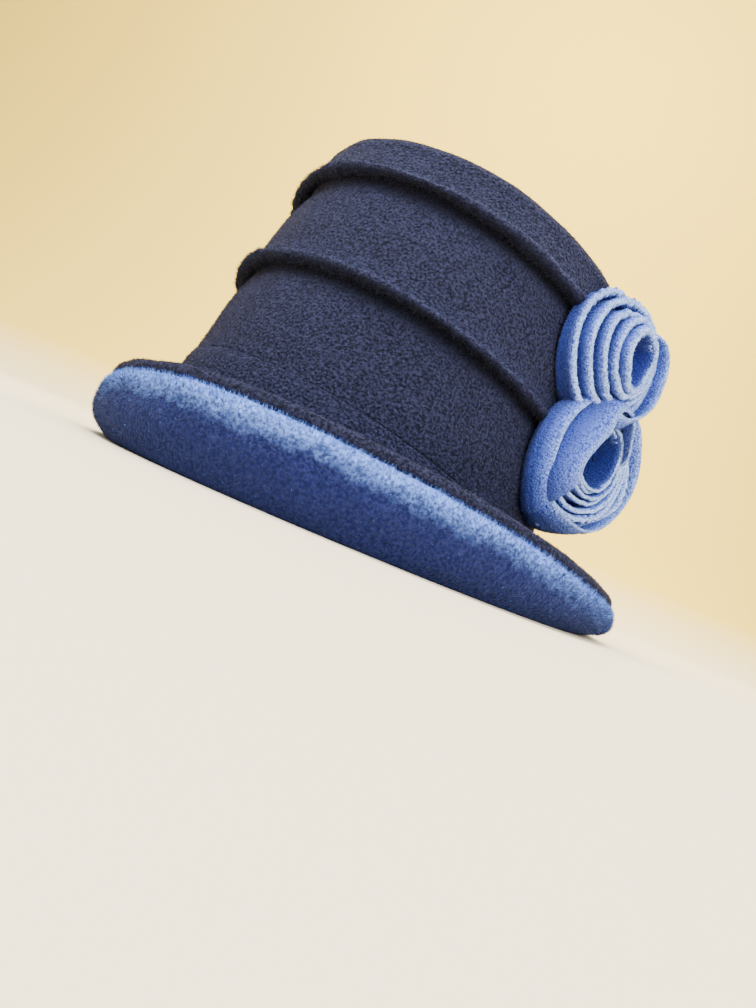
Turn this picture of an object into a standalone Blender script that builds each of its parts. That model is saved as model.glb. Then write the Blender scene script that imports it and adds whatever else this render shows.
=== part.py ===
"""Fleece hat: a crown of three tiers with rolled welts, a two-layer turned-up brim and two coiled roses.

Metres, +Z up. The hat rests on the fold of its brim at Z = 0, with its front towards -Y and its roses
on the +X side.
Azimuths run round the hat from the front (-Y) towards +X.
"""

import math

import bmesh
import bpy
from mathutils import Matrix, Vector

# Head opening, cloth and the gap kept between two pieces of cloth
HEAD_WIDTH = 0.170
HEAD_LENGTH = 0.192
FLEECE = 0.0025
CLEARANCE = 0.0003

# Crown: its seam with the brim leans back, and everything above stands square to that seam
CROWN_LEAN = math.radians(12.0)
CROWN_TIP_SIDE = math.radians(3.0)
SEAM_HEIGHT = 0.031
SEAM_FORWARD = 0.0135
SEAM_SIDE = 0.006
LOWER_TIER = 0.045
MIDDLE_TIER = 0.048
TOP_WALL = 0.005
TIP_RISE = 0.017
TIP_SQUARENESS = 2.7
TIP_DRAW = 0.001
TIER_DRAW = 0.0035
TIER_SWELL = 0.0012
WELT_THICKNESS = 0.0065
WELT_RISE = 0.012
TUCK = 0.005

# Brim: down from the seam to a flat fold, then up and out to a rolled lip. WALL_WIDEST is the share of
# the wall's height at which it is widest, LIP_TURN_IN how much of its swell it has lost again at the lip.
BRIM_WIDTH = 0.262
BRIM_LENGTH = 0.286
LIP_HEIGHT = 0.033
LIP_LEAN = 0.008
LIP_ROLL = 0.003
WALL_SWELL = 0.004
FOLD_FLAT = 0.006
NECK_DROP = 0.005
NECK_SPREAD = 0.001
WALL_WIDEST = 0.42
LIP_TURN_IN = 0.35
CREASE_DEPTH = 0.004

# Roses: a folded strip wound into a stepped cone
ROSE_WIDTH = 0.056
ROSE_STAND = 0.027
ROSE_HOLE = 0.013
ROSE_STRIP = 0.0042
ROSE_STRIP_WIDTH = 0.017
ROSE_FLARE = 0.0025
ROSE_TURNS = 2.75
ROSE_END = 0.35
ROSE_TAPER = 0.4
ROSE_SEAT = 0.0006

# Facets
STEPS_AROUND = 56
TIER_STEPS = 4
TIP_STEPS = 6
BRIM_STEPS = (1, 2, 2, 1, 2, 2)
STEPS_PER_TURN = 14

# The brim's wall round the hat. rise is a share of LIP_HEIGHT, lean a share of LIP_LEAN,
# swell a share of WALL_SWELL, and drop how far down the slope from seam to fold sags at its middle.
BRIM_ROWS = (
    {"azimuth": 0, "rise": 1.00, "lean": 1.00, "swell": 0.60, "drop": 0.62},
    {"azimuth": 45, "rise": 0.86, "lean": 1.00, "swell": 0.70, "drop": 0.60},
    {"azimuth": 90, "rise": 0.52, "lean": 0.90, "swell": 1.00, "drop": 0.55},
    {"azimuth": 135, "rise": 0.32, "lean": 0.80, "swell": 1.00, "drop": 0.50},
    {"azimuth": 180, "rise": 0.26, "lean": 0.80, "swell": 0.80, "drop": 0.50},
    {"azimuth": 225, "rise": 0.32, "lean": 0.80, "swell": 1.00, "drop": 0.50},
    {"azimuth": 270, "rise": 0.48, "lean": 0.90, "swell": 1.00, "drop": 0.55},
    {"azimuth": 315, "rise": 0.72, "lean": 0.95, "swell": 0.80, "drop": 0.60},
)

# Soft creases down the slope of the brim. depth is a share of CREASE_DEPTH, spread is in degrees.
CREASE_ROWS = (
    {"azimuth": 92, "depth": 1.00, "spread": 10.0},
    {"azimuth": 122, "depth": 0.80, "spread": 11.0},
    {"azimuth": 236, "depth": 0.60, "spread": 13.0},
)

# The roses. azimuth and height place the middle of the back on the crown, height being a share of the
# two welted tiers, turn faces it forward from square to the crown, start is where its strip begins, and
# rim is how far that outermost turn stands out, as a share of ROSE_STAND.
ROSE_ROWS = (
    {"name": "rose_upper", "azimuth": 74, "height": 0.87, "turn": 0.0, "start": 80.0, "rim": 0.35},
    {"name": "rose_lower", "azimuth": 86, "height": 0.385, "turn": 20.0, "start": 260.0, "rim": 0.75},
)

COLOURS = {
    "navy_fleece": (0.024, 0.030, 0.062, 1.0),
    "blue_fleece": (0.110, 0.190, 0.520, 1.0),
    "rose_fleece": (0.210, 0.330, 0.720, 1.0),
}

# Sizes that follow from the ones above
BRIM_LAYERS = 2.0 * FLEECE + CLEARANCE
SEAM_HALF_WIDTH = HEAD_WIDTH / 2.0 + BRIM_LAYERS
SEAM_HALF_LENGTH = HEAD_LENGTH / 2.0 + BRIM_LAYERS
WELT_RADIUS = WELT_THICKNESS / 2.0
LOWER_TOP = -TIER_DRAW
MIDDLE_INSIDE = LOWER_TOP + CLEARANCE
MIDDLE_TOP = MIDDLE_INSIDE + FLEECE - TIER_DRAW
TOP_INSIDE = MIDDLE_TOP + CLEARANCE
FOLD_HEIGHT = FLEECE + CLEARANCE / 2.0
CROWN_TILT = Matrix.Rotation(-CROWN_LEAN, 4, "X") @ Matrix.Rotation(CROWN_TIP_SIDE, 4, "Y")
CROWN_FRAME = Matrix.Translation((-SEAM_SIDE, -SEAM_FORWARD, SEAM_HEIGHT)) @ CROWN_TILT


def clear_scene():
    for obj in list(bpy.data.objects):
        bpy.data.objects.remove(obj, do_unlink=True)


def make_material(name):
    material = bpy.data.materials.new(name)
    material.use_nodes = True
    shader = material.node_tree.nodes["Principled BSDF"]
    shader.inputs["Base Color"].default_value = COLOURS[name]
    shader.inputs["Roughness"].default_value = 0.95
    shader.inputs["Metallic"].default_value = 0.0
    return material


def finish(name, mesh, collection, material):
    """One named, smooth-shaded object of this mesh, with its faces turned outwards."""
    bm = bmesh.new()
    bm.from_mesh(mesh)
    bmesh.ops.recalc_face_normals(bm, faces=bm.faces)
    bm.to_mesh(mesh)
    bm.free()
    mesh.shade_smooth()
    mesh.set_sharp_from_angle(angle=math.radians(50.0))
    obj = bpy.data.objects.new(name, mesh)
    obj.data.materials.append(material)
    collection.objects.link(obj)
    return obj


def loft(rows, closed_around, closed_along):
    """A mesh through rows of points, joined round each row and along the rows where it is closed.

    Each square of four points is split along the same diagonal, so that two layers on one grid stay parallel.
    """
    mesh = bpy.data.meshes.new("loft")
    count = len(rows[0])
    points = [point for row in rows for point in row]
    faces = []
    for i in range(len(rows) if closed_along else len(rows) - 1):
        j = (i + 1) % len(rows)
        for k in range(count if closed_around else count - 1):
            m = (k + 1) % count
            faces.append((i * count + k, i * count + m, j * count + m))
            faces.append((i * count + k, j * count + m, j * count + k))
    if not closed_along:
        faces.append(tuple(range(count)))
        faces.append(tuple(range((len(rows) - 1) * count, len(rows) * count)))
    mesh.from_pydata(points, [], faces)
    return mesh


def azimuths():
    return [2.0 * math.pi * k / STEPS_AROUND for k in range(STEPS_AROUND)]


def oval(azimuth, half_width, half_length, height=0.0):
    return Vector((half_width * math.sin(azimuth), -half_length * math.cos(azimuth), height))


def around(rows, key, azimuth):
    """The column's value at this azimuth, on a smooth curve through its rows that closes on itself."""
    degrees = math.degrees(azimuth) % 360.0
    index = max(i for i, row in enumerate(rows) if row["azimuth"] <= degrees)
    following = rows[(index + 1) % len(rows)]["azimuth"] or 360.0
    share = (degrees - rows[index]["azimuth"]) / (following - rows[index]["azimuth"])
    near = [rows[(index + i) % len(rows)][key] for i in (-1, 0, 1, 2)]
    return curve(near, share)


def curve(near, share):
    """A Catmull-Rom curve from the second to the third of four values or points."""
    before, start, end, after = near
    ease = (end - before) * share
    ease += (2.0 * before - 5.0 * start + 4.0 * end - after) * share**2
    ease += (3.0 * start - before - 3.0 * end + after) * share**3
    return start + ease * 0.5


# Crown


def welt(inside, height):
    """The rolled lower edge of a tier, from its outer shoulder round under to its inner face."""
    middle = inside + WELT_THICKNESS - WELT_RADIUS
    points = []
    for degrees in (55.0, 15.0, -30.0, -80.0, -130.0):
        angle = math.radians(degrees)
        offset = middle + WELT_RADIUS * math.cos(angle)
        points.append((offset, height + WELT_RADIUS * (1.0 + math.sin(angle))))
    points.append((inside, height + WELT_RADIUS))
    return points


def tier_wall(top, bottom):
    """The outer face of a tier from its top (offset, height) to its bottom, a little swollen between."""
    points = []
    for i in range(TIER_STEPS + 1):
        share = i / TIER_STEPS
        swell = TIER_SWELL * math.sin(math.pi * share)
        offset = top[0] + (bottom[0] - top[0]) * share + swell
        points.append((offset, top[1] + (bottom[1] - top[1]) * share))
    return points


def rings_at(points):
    """Section points (offset from the seam oval, height) as rings (half width, half length, height)."""
    return [(SEAM_HALF_WIDTH + offset, SEAM_HALF_LENGTH + offset, height) for offset, height in points]


def lower_tier_rings():
    top = LOWER_TIER + TUCK
    outer = tier_wall((LOWER_TOP, LOWER_TIER), (0.0, 0.0))
    outer.insert(0, (LOWER_TOP, top))
    inner = [(offset - FLEECE, height) for offset, height in reversed(outer)]
    return rings_at(outer + inner)


def middle_tier_rings():
    start = LOWER_TIER
    end = LOWER_TIER + MIDDLE_TIER
    outer = tier_wall((MIDDLE_TOP, end), (MIDDLE_INSIDE + FLEECE, start + WELT_RISE))
    outer.insert(0, (MIDDLE_TOP, end + TUCK))
    inner = [(offset - FLEECE, height) for offset, height in reversed(outer)]
    return rings_at(outer + welt(MIDDLE_INSIDE, start) + inner)


def tip_rings(offset, height, rise):
    """A soft dome from its middle out to its shoulder, which stands at this offset from the seam oval."""
    power = 2.0 / TIP_SQUARENESS
    rings = []
    for i in range(TIP_STEPS + 1):
        angle = 0.5 * math.pi * i / TIP_STEPS
        share = math.sin(angle) ** power
        top = height + rise * math.cos(angle) ** power
        rings.append(((SEAM_HALF_WIDTH + offset) * share, (SEAM_HALF_LENGTH + offset) * share, top))
    return rings


def top_tier_rings():
    start = LOWER_TIER + MIDDLE_TIER
    shoulder = start + WELT_RISE + TOP_WALL
    wall = TOP_INSIDE + FLEECE
    upper = wall - TIP_DRAW
    outer_tip = tip_rings(upper, shoulder, TIP_RISE)
    inner_tip = tip_rings(upper - FLEECE, shoulder, TIP_RISE - FLEECE)
    side = [(wall, start + WELT_RISE)] + welt(TOP_INSIDE, start) + [(TOP_INSIDE, start + WELT_RISE)]
    return outer_tip + rings_at(side) + list(reversed(inner_tip))


def crown_piece(name, rings, collection, material):
    """A tier: its rings, closed round the oval, with a pole where a ring has shrunk to a point."""
    capped = rings[0][0] == 0.0
    rows = [[CROWN_FRAME @ oval(azimuth, *ring) for ring in rings] for azimuth in azimuths()]
    mesh = loft(rows, not capped, True)
    if capped:
        bm = bmesh.new()
        bm.from_mesh(mesh)
        bmesh.ops.remove_doubles(bm, verts=bm.verts, dist=0.00001)
        bm.to_mesh(mesh)
        bm.free()
    return finish(name, mesh, collection, material)


# Brim


def crease(azimuth):
    total = 0.0
    for row in CREASE_ROWS:
        away = (math.degrees(azimuth) - row["azimuth"]) / row["spread"]
        total += CREASE_DEPTH * row["depth"] * math.exp(-away * away)
    return total


def brim_guides(azimuth):
    """The points that the middle of the brim's two layers passes through, from the seam out to the lip."""
    rise = LIP_HEIGHT * around(BRIM_ROWS, "rise", azimuth)
    lean = LIP_LEAN * around(BRIM_ROWS, "lean", azimuth)
    swell = WALL_SWELL * around(BRIM_ROWS, "swell", azimuth)
    drop = around(BRIM_ROWS, "drop", azimuth)
    half_width = BRIM_WIDTH / 2.0 - FLEECE - CLEARANCE
    half_length = BRIM_LENGTH / 2.0 - FLEECE - CLEARANCE
    middle = -FLEECE - CLEARANCE / 2.0
    seam = CROWN_FRAME @ oval(azimuth, SEAM_HALF_WIDTH + middle, SEAM_HALF_LENGTH + middle, -CLEARANCE)
    neck = CROWN_FRAME @ oval(azimuth, SEAM_HALF_WIDTH + middle, SEAM_HALF_LENGTH + middle, -NECK_DROP)
    neck += oval(azimuth, NECK_SPREAD, NECK_SPREAD)
    fold = [
        oval(azimuth, half_width - lean - swell + side, half_length - lean - swell + side, FOLD_HEIGHT)
        for side in (-FOLD_FLAT / 2.0, FOLD_FLAT / 2.0)
    ]
    slope = neck.lerp(fold[0], 0.5)
    slope.z = neck.z + (fold[0].z - neck.z) * drop
    slope += Vector((0.0, 0.0, 1.0)) * crease(azimuth)
    swollen = oval(azimuth, half_width, half_length, FOLD_HEIGHT + WALL_WIDEST * (rise - FOLD_HEIGHT))
    lip = oval(azimuth, half_width - LIP_TURN_IN * swell, half_length - LIP_TURN_IN * swell, rise)
    return [seam, neck, slope, *fold, swollen, lip]


def brim_path(azimuth):
    guides = brim_guides(azimuth)
    ends = [2.0 * guides[0] - guides[1], *guides, 2.0 * guides[-1] - guides[-2]]
    path = []
    for i, count in enumerate(BRIM_STEPS):
        path += [curve(ends[i : i + 4], k / count) for k in range(count)]
    return path + [guides[-1]]


def brim_grid():
    """The middle of the brim's two layers, with the normal at each of its points towards the crown side."""
    paths = [brim_path(azimuth) for azimuth in azimuths()]
    normals = []
    for k, path in enumerate(paths):
        before = paths[k - 1]
        after = paths[(k + 1) % len(paths)]
        row = []
        for i in range(len(path)):
            along = path[min(i + 1, len(path) - 1)] - path[max(i - 1, 0)]
            if i == 0:
                along = CROWN_FRAME.to_3x3() @ Vector((0.0, 0.0, -1.0))
            row.append(along.cross(after[i] - before[i]).normalized())
        normals.append(row)
    return paths, normals


def facing_rows():
    """The light layer, on the side away from the crown, pressed flat where the hat rests."""
    rows = []
    for path, normals in zip(*brim_grid()):
        near = [point - normal * (CLEARANCE / 2.0) for point, normal in zip(path, normals)]
        far = [point - normal * (CLEARANCE / 2.0 + FLEECE) for point, normal in zip(path, normals)]
        for point in far:
            if point.z < CLEARANCE * 2.0:
                point.z = 0.0
        rows.append(near + list(reversed(far)))
    return rows


def outer_rows():
    """The navy layer, on the crown side, ending in a roll over the light layer's edge."""
    rows = []
    for path, normals in zip(*brim_grid()):
        near = [point + normal * (CLEARANCE / 2.0) for point, normal in zip(path, normals)]
        far = [point + normal * (CLEARANCE / 2.0 + FLEECE) for point, normal in zip(path, normals)]
        up = (path[-1] - path[-2]).normalized()
        inward = normals[-1]
        middle = path[-1] + inward * (CLEARANCE / 2.0 + FLEECE - LIP_ROLL) + up * (LIP_ROLL + CLEARANCE)
        roll = []
        for degrees in (0.0, 60.0, 120.0, 180.0, 240.0):
            angle = math.radians(degrees)
            roll.append(middle + (inward * math.cos(angle) + up * math.sin(angle)) * LIP_ROLL)
        rows.append(near + list(reversed(far + roll)))
    return rows


def brim_piece(name, rows, collection, material):
    return finish(name, loft(rows, True, True), collection, material)


# Roses


def crown_reach(height):
    """How far the crown's outermost line stands outside the seam oval at this height above the seam."""
    upper = TOP_INSIDE + WELT_THICKNESS
    lower = MIDDLE_INSIDE + WELT_THICKNESS
    share = (height - LOWER_TIER) / MIDDLE_TIER
    return lower + (upper - lower) * max(share, 0.0)


def on_crown(point, outward):
    """Where a line through this point, along the level direction outward, leaves the crown."""
    half_width = SEAM_HALF_WIDTH + crown_reach(point.z)
    half_length = SEAM_HALF_LENGTH + crown_reach(point.z)
    a = (outward.x / half_width) ** 2 + (outward.y / half_length) ** 2
    b = point.x * outward.x / half_width**2 + point.y * outward.y / half_length**2
    c = (point.x / half_width) ** 2 + (point.y / half_length) ** 2 - 1.0
    return (-b + math.sqrt(max(b * b - a * c, 0.0))) / a


def rose_rows(row):
    """Sections along the wound strip, each a rounded box standing out from the crown."""
    azimuth = math.radians(row["azimuth"])
    height = row["height"] * (LOWER_TIER + MIDDLE_TIER)
    reach = crown_reach(height)
    back = oval(azimuth, SEAM_HALF_WIDTH + reach, SEAM_HALF_LENGTH + reach, height)
    square = math.atan2(back.x / (SEAM_HALF_WIDTH + reach) ** 2, -back.y / (SEAM_HALF_LENGTH + reach) ** 2)
    outward = oval(square - math.radians(row["turn"]), 1.0, 1.0)
    up = Vector((0.0, 0.0, 1.0))
    side = up.cross(outward)
    widest = ROSE_WIDTH / 2.0 - ROSE_STRIP / 2.0 - ROSE_FLARE
    narrowest = ROSE_HOLE / 2.0 + ROSE_STRIP / 2.0
    steps = round(ROSE_TURNS * STEPS_PER_TURN)
    sections = []
    for i in range(steps + 1):
        share = i / steps
        angle = math.radians(row["start"]) + 2.0 * math.pi * ROSE_TURNS * share
        spoke = side * math.cos(angle) + up * math.sin(angle)
        radius = widest + (narrowest - widest) * share
        top = ROSE_STAND * (row["rim"] + (1.0 - row["rim"]) * share)
        foot = back + spoke * radius
        seat = on_crown(foot, outward) + ROSE_SEAT
        top = seat + (top - seat) * min(1.0, ROSE_END + share * ROSE_TURNS / ROSE_TAPER)
        bottom = max(top - ROSE_STRIP_WIDTH, seat)
        half = ROSE_STRIP / 2.0
        outline = (
            (-half, bottom),
            (half, bottom),
            (half + ROSE_FLARE, top - half),
            (ROSE_FLARE, top),
            (ROSE_FLARE - half, top - half),
        )
        sections.append([CROWN_FRAME @ (foot + spoke * aside + outward * out) for aside, out in outline])
    return sections


def rose_piece(row, collection, material):
    return finish(row["name"], loft(rose_rows(row), True, False), collection, material)


def build():
    clear_scene()
    hat = bpy.data.collections.new("fleece_hat")
    bpy.context.scene.collection.children.link(hat)
    navy = make_material("navy_fleece")
    blue = make_material("blue_fleece")
    petal = make_material("rose_fleece")
    crown_piece("crown_lower_tier", lower_tier_rings(), hat, navy)
    crown_piece("crown_middle_tier", middle_tier_rings(), hat, navy)
    crown_piece("crown_top_tier", top_tier_rings(), hat, navy)
    brim_piece("brim_outer", outer_rows(), hat, navy)
    brim_piece("brim_facing", facing_rows(), hat, blue)
    for row in ROSE_ROWS:
        rose_piece(row, hat, petal)


build()
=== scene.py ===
"""Looks of the fleece hat: fine cloth surfaces, nap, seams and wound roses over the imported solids.

Metres, +Z up. The front of the hat is towards -Y and its roses are on the +X side.
Azimuths run round the hat from the front (-Y) towards +X.
"""

import math

import bmesh
import bpy
import numpy as np
from mathutils import Matrix, Vector


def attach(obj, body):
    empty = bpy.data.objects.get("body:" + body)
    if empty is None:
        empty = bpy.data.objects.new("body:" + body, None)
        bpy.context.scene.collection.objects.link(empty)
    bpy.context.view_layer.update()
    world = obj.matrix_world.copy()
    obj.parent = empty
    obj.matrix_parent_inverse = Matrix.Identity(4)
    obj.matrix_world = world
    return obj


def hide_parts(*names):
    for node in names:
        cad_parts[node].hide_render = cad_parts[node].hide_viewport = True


# Head opening, cloth and the gap kept between two pieces of cloth, as in the solids
HEAD_WIDTH = 0.170
HEAD_LENGTH = 0.192
FLEECE = 0.0025
CLEARANCE = 0.0003
BRIM_LAYERS = 2.0 * FLEECE + CLEARANCE
SEAM_HALF = np.array((HEAD_WIDTH, HEAD_LENGTH)) / 2.0 + BRIM_LAYERS

# Crown, as in the solids
CROWN_LEAN = math.radians(12.0)
CROWN_TIP_SIDE = math.radians(3.0)
SEAM_MIDDLE = np.array((-0.006, -0.0135, 0.031))
LOWER_TIER = 0.045
MIDDLE_TIER = 0.048
TOP_WALL = 0.005
TIP_RISE = 0.017
TIP_SQUARENESS = 2.7
TIP_DRAW = 0.001
TIP_MIDDLE = 0.002
TIER_DRAW = 0.0035
TIER_SWELL = 0.0012
WELT_THICKNESS = 0.0065
WELT_RISE = 0.012
WELT_ROLL = 0.0026
WELT_DENT = 0.0012
WELT_ARC = (80.0, -150.0)
WELT_ARC_POINTS = 13
TUCK = 0.005
LOWER_TOP = -TIER_DRAW
MIDDLE_INSIDE = LOWER_TOP + CLEARANCE
MIDDLE_TOP = MIDDLE_INSIDE + FLEECE - TIER_DRAW
TOP_INSIDE = MIDDLE_TOP + CLEARANCE

# Brim, as in the solids
BRIM_HALF = np.array((0.262, 0.286)) / 2.0
LIP_HEIGHT = 0.033
LIP_LEAN = 0.008
LIP_ROLL = 0.003
WALL_SWELL = 0.004
FOLD_FLAT = 0.006
NECK_DROP = 0.005
NECK_SPREAD = 0.001
WALL_WIDEST = 0.42
LIP_TURN_IN = 0.35
CREASE_DEPTH = 0.004
FOLD_HEIGHT = FLEECE + CLEARANCE / 2.0
BRIM_ROWS = (
    {"azimuth": 0, "rise": 1.00, "lean": 1.00, "swell": 0.60, "drop": 0.62},
    {"azimuth": 45, "rise": 0.86, "lean": 1.00, "swell": 0.70, "drop": 0.60},
    {"azimuth": 90, "rise": 0.52, "lean": 0.90, "swell": 1.00, "drop": 0.55},
    {"azimuth": 135, "rise": 0.32, "lean": 0.80, "swell": 1.00, "drop": 0.50},
    {"azimuth": 180, "rise": 0.26, "lean": 0.80, "swell": 0.80, "drop": 0.50},
    {"azimuth": 225, "rise": 0.32, "lean": 0.80, "swell": 1.00, "drop": 0.50},
    {"azimuth": 270, "rise": 0.48, "lean": 0.90, "swell": 1.00, "drop": 0.55},
    {"azimuth": 315, "rise": 0.72, "lean": 0.95, "swell": 0.80, "drop": 0.60},
)
CREASE_ROWS = (
    {"azimuth": 92, "depth": 1.00, "spread": 10.0},
    {"azimuth": 122, "depth": 0.80, "spread": 11.0},
    {"azimuth": 236, "depth": 0.60, "spread": 13.0},
)

# Roses: strips wound more finely than in the solids. azimuth, height, turn and start are much as there.
# wide and hole are the radii of the strip's outer and inner ends, and rim and stand how far those stand
# from the crown. lift is how much further the outer end stands at the back than at the middle, tight
# (below 1) how much closer the inner turns are, tall how much longer the winding is than wide, tilt how
# far its length leans to the front, drift how far up its inner end lies off the middle, outer and thick
# the strip's thickness at its two ends, flare how far its edge curls out, and length its own length.
ROSE_STRIP_WIDTH = 0.017
ROSE_TAPER = 0.4
ROSE_END = 0.35
ROSE_SEAT = 0.0006
ROSE_SINK = 0.0035
PUCKER_DEPTH = 0.0006
PUCKER_PITCH = 0.0022
PUCKER_BAND = (0.005, 0.002)
ROSE_ROWS = (
    {
        "name": "rose_upper",
        "azimuth": 75.0,
        "height": 0.89,
        "turn": 0.0,
        "start": 80.0,
        "turns": 5.25,
        "wide": 0.0228,
        "hole": 0.0088,
        "rim": 0.0110,
        "lift": 0.0075,
        "stand": 0.0225,
        "tight": 0.90,
        "tall": 1.20,
        "tilt": 25.0,
        "drift": 0.0030,
        "outer": 0.0034,
        "thick": 0.0034,
        "flare": 0.0020,
        "length": 0.52,
        "seed": 21,
    },
    {
        "name": "rose_lower",
        "azimuth": 87.0,
        "height": 0.44,
        "turn": 20.0,
        "start": 260.0,
        "turns": 6.25,
        "wide": 0.0262,
        "hole": 0.0122,
        "rim": 0.0135,
        "lift": 0.0050,
        "stand": 0.0190,
        "tight": 0.60,
        "tall": 1.10,
        "tilt": 20.0,
        "drift": 0.0062,
        "outer": 0.0036,
        "thick": 0.0015,
        "flare": 0.0010,
        "length": 0.72,
        "seed": 22,
    },
)

# Painted tone of a rose: a painted highlight along the strip's edge, painted shade this deep below it, and
# more painted shade on its innermost turn. A petal's painted tone is weaker, and PETAL_DEPTH is its height
# as a share of the depth at which its painted shade is full.
ROSE_EDGE = 0.0055
ROSE_EDGE_HIGHLIGHT = 0.72
ROSE_GROOVE_SHADE = -1.0
ROSE_INSIDE_SHADE = -0.45
ROSE_INSIDE_FROM = 0.55
ROSE_TONE_POWER = 0.7
PETAL_DEPTH = 2.4
PETAL_TONE_SHARE = 0.6
PETAL_TONE_SHIFT = -0.06

# Unevenness of the cloth: waves of this length in metres, of this height, with this seed. A welt's own
# comes on top of the crown's, and more of it where the pile is fuzzier.
CROWN_WAVES = ((0.075, 3, 0.0008), (0.022, 4, 0.00025))
WELT_WAVE = (0.0055, 12, 0.0004)
FACING_WAVES = ((0.06, 5, 0.0005), (0.016, 6, 0.0002))
OUTER_WAVES = ((0.06, 8, 0.0005), (0.02, 9, 0.0002))
ROLL_WAVES = ((0.03, 10, 0.10), (0.008, 11, 0.05))
GLOW_WAVES = ((0.03, 7, 0.12), (0.004, 13, 0.16))

# Waves of a rose's strip, as (length, height): of its radius, its rim, its flare and its puckers. They are
# taken along a screw of this radius and this rise a turn. A petal's is taken along a ring.
STRIP_WAVES = ((0.02, 0.0005), (0.018, 0.0008), (0.015, 0.3), (0.01, 1.0))
STRIP_SCREW = (0.012, 0.02)
PETAL_WAVE = (0.016, 0.0009)
PETAL_RING = 0.02

# Pile of the crown: a painted highlight on top of a welt, painted shade under it and close under the tier
# above, fuzzier and denser on a welt, and swept down a little
WELT_TOP_HIGHLIGHT = 0.30
WELT_UNDER_SHADE = 0.9
COVERED_SHADE = 0.8
COVERED_DEPTH = 0.007
WELT_FUZZ = 0.8
WELT_BLEND = 0.001
WELT_DENSER_POWER = 2.5
CROWN_SWEEP = np.array((0.0, 0.0, -0.2))

# Nap: fibres on each piece, the seeds of their places and of their lean, how long they are and how wide,
# and how their tone varies from clump to clump
NAP_COUNTS = {
    "crown_top_tier": 46000,
    "crown_middle_tier": 56000,
    "crown_lower_tier": 43000,
    "brim_outer": 60000,
    "brim_facing": 110000,
    "rose_upper": 34000,
    "rose_lower": 34000,
}
PLACE_SEEDS = {
    "crown_top_tier": 51,
    "crown_middle_tier": 52,
    "crown_lower_tier": 53,
    "brim_outer": 41,
    "brim_facing": 31,
}
FIBRE_SEEDS = {**PLACE_SEEDS, "brim_outer": 42, "brim_facing": 32}
NAVY_NAP = 0.0009
BLUE_NAP = 0.0013
EDGE_NAP = 0.0008
ROSE_NAP = 0.0009
NAVY_FIBRE = 0.00019
BLUE_FIBRE = 0.00014
NAP_MOTTLE = 0.46
NAP_MOTTLE_PITCH = 0.0017
NAP_MOTTLE_DARKER = 0.20

# How a fibre varies: the tufts that it leans with and its own lean, its length, its tones, and how much it
# is shaded as the cloth under it and as it leans
TUFT_PITCH = 0.0030
TUFT_LEAN = 0.5
FIBRE_LEAN = 0.25
FIBRE_LENGTHS = (0.5, 1.15)
FIBRE_TIP_TONES = (0.12, 0.56)
FIBRE_TONES = (0.6, 1.3)
FIBRE_FACING = (0.75, 0.5)

# Fineness of the meshes
STEPS_AROUND = 416
SECTION_STEP = 0.0014
INSIDE_STEP = 2.0 * SECTION_STEP
ROSE_STEPS_PER_TURN = 90
STRIP_SIDE = 9
STRIP_EDGE = 7
PETAL_SIDE = 26
PETAL_STEP = 0.0012

# Brim finish: points between one guide and the next, how deep the light layer is rounded under the lip,
# the seam sunk below the lip with painted shade in its groove and the ridge under it, the roll over the
# edge, how thin the light layer's edge is, the heights over which its unevenness comes in above the floor,
# and how its pile is painted paler near the lip as a painted highlight and darker towards the fold as
# painted shade
BRIM_STEPS = (4, 9, 14, 5, 14, 18)
EDGE_ROUND = 0.006
LIP_SEAM = 0.0045
LIP_SEAM_WIDTH = 0.0011
LIP_SEAM_DEPTH = 0.0012
LIP_SEAM_SHADE = -0.9
LIP_RIDGE = 2.0 * LIP_SEAM
LIP_RIDGE_WIDTH = 1.6 * LIP_SEAM_WIDTH
LIP_RIDGE_SHARE = 0.5
LIP_ROLL_SHARE = 0.80
ROLL_ANGLES = np.radians(np.arange(0.0, 255.0, 18.0))
EDGE_THICKNESS = 0.3
UNEVEN_FROM = (0.003, 0.008)
GLOW_DEPTH = 0.0115
GLOW_AT_LOWEST = 0.3
GLOW_FADE = 0.5
GLOW_FADE_POWER = 1.25
GLOW_HIGHLIGHT = 1.25
LOWER_WALL_SHADE = 0.20
LOWER_WALL_SHADE_DEPTHS = (0.4 * GLOW_DEPTH, 1.6 * GLOW_DEPTH)

# Nap of the brim: longer, denser and upright near the lip; short and sparse close to the floor
LIP_PILE = 0.012
LIP_PILE_END = 0.001
LIP_UPRIGHT = 0.010
LIP_UPRIGHT_SWEEP = 0.8
LIP_DENSER = 2.0
OUTWARD_SWEEP = 0.1
FLOOR_DENSITY = 0.12
FLOOR_DENSITY_HEIGHTS = (0.001, 0.006)
FLOOR_LENGTH = 0.35
FLOOR_LENGTH_HEIGHT = 0.004
ROLL_DENSITY = 2.2

# A loose petal: how soon it rises from its ends and from its foot, its height at its ends and its
# thinness at its edge, both as shares, and how many flatter places there are round its free edge
PETAL_ENDS_POWER = 0.2
PETAL_RISE_POWER = 0.2
PETAL_END_HEIGHT = 0.5
PETAL_EDGE = 0.25
PETAL_LOBES = 3.0

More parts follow.
